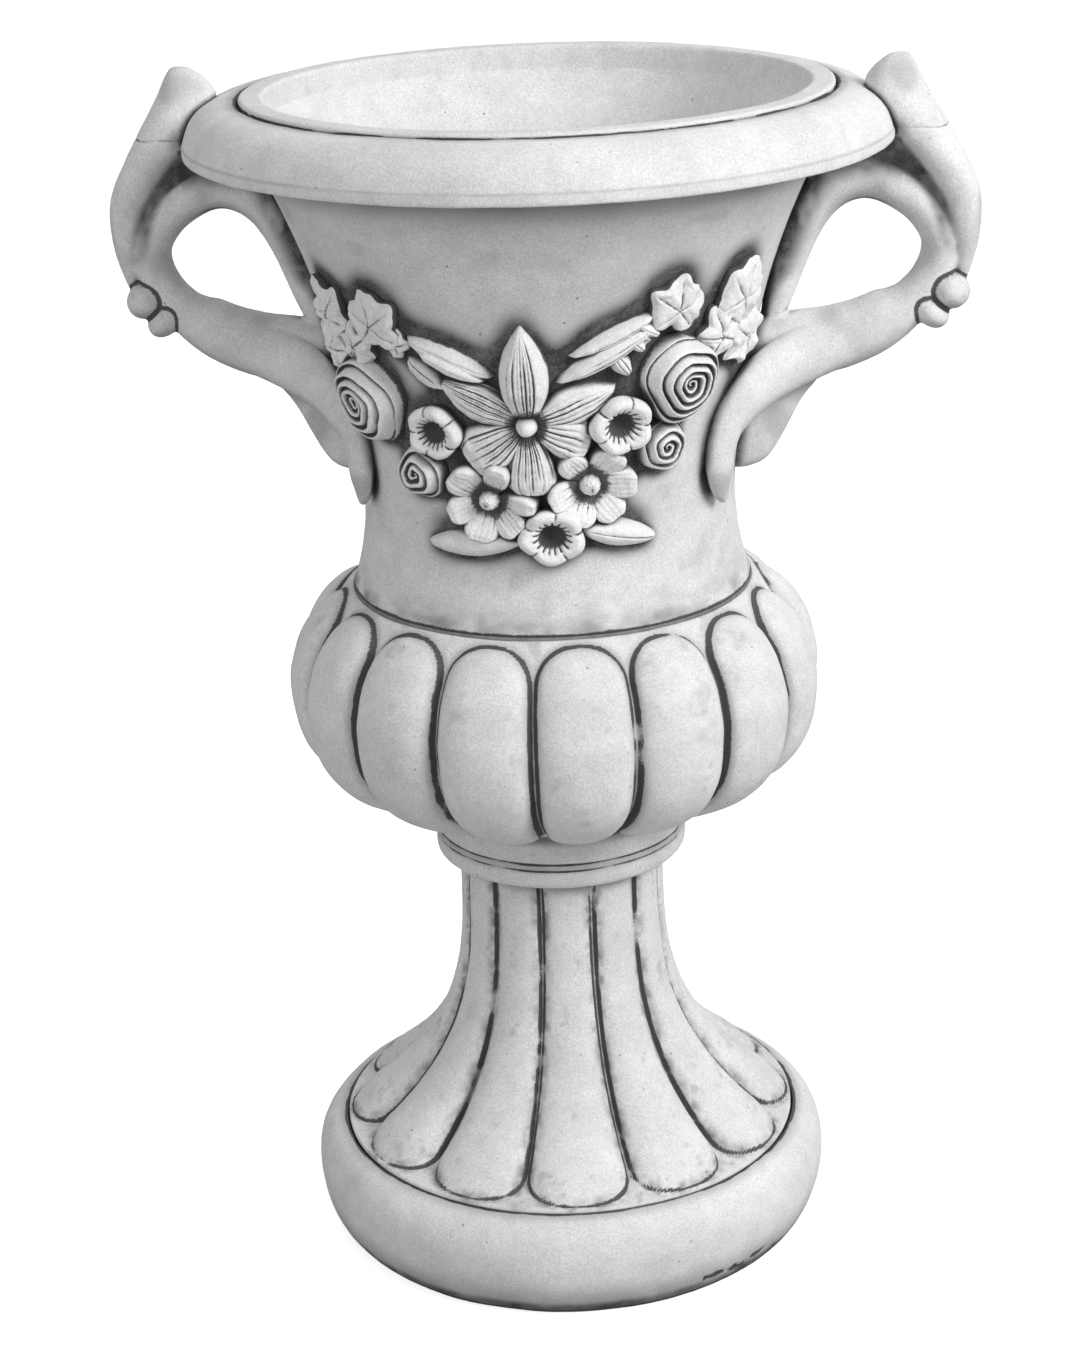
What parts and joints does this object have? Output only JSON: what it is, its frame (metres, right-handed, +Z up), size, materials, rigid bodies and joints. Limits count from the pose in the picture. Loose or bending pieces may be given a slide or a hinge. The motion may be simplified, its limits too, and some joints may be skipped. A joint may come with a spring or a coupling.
{
  "type": "urn planter",
  "caption": "Tall two-handled cast-stone urn planter: a flared vase with a flower garland and a gadrooned bowl, standing on a fluted round pedestal.",
  "frame": {"origin": "centre of the round footprint, on the ground", "axes": "+Z up; the vase's front with its garland faces -Y; the two handles lie on +X and -X"},
  "size_m": [0.5522, 0.443, 0.795],
  "materials": {
    "cast_stone": "white cast stone, fine open grain, dark antique wash left in the hollows",
    "mortar": "weathered grey bedding mortar",
    "reinforcing_steel": "dull mill-finish bar with light rust",
    "pipe_plastic": "matt grey drain pipe"
  },
  "bodies": {
    "pedestal": {"base_plinth": "cast_stone", "base_hoop": "reinforcing_steel", "fluted_stem": "cast_stone", "stem_bars": "reinforcing_steel", "drain_pipe": "pipe_plastic"},
    "vase": {"vase_foot": "cast_stone", "foot_mortar": "mortar", "gadrooned_bowl": "cast_stone", "bowl_hoop": "reinforcing_steel", "bell_mortar": "mortar", "bell_body": "cast_stone", "bell_hoops": "reinforcing_steel", "rim_moulding": "cast_stone", "rim_hoop": "reinforcing_steel", "rim_lip": "cast_stone", "right_handle_loop": "cast_stone", "right_handle_horn": "cast_stone", "right_handle_beads": "cast_stone", "right_handle_tongue": "cast_stone", "right_handle_tails": "cast_stone", "right_handle_dowels": "reinforcing_steel", "left_handle_loop": "cast_stone", "left_handle_horn": "cast_stone", "left_handle_beads": "cast_stone", "left_handle_tongue": "cast_stone", "left_handle_tails": "cast_stone", "left_handle_dowels": "reinforcing_steel", "front_trumpets": "cast_stone", "front_large_roses": "cast_stone", "front_small_roses": "cast_stone", "front_blossoms": "cast_stone", "front_lily": "cast_stone", "front_pods": "cast_stone", "front_ivy_leaves": "cast_stone", "back_trumpets": "cast_stone", "back_large_roses": "cast_stone", "back_small_roses": "cast_stone", "back_blossoms": "cast_stone", "back_lily": "cast_stone", "back_pods": "cast_stone", "back_ivy_leaves": "cast_stone"}
  },
  "joints": [
    {"name": "vase_lift", "type": "slide", "parent": "pedestal", "child": "vase", "axis": [0, 0, 1], "range_m": [0, 0.12]}
  ]
}
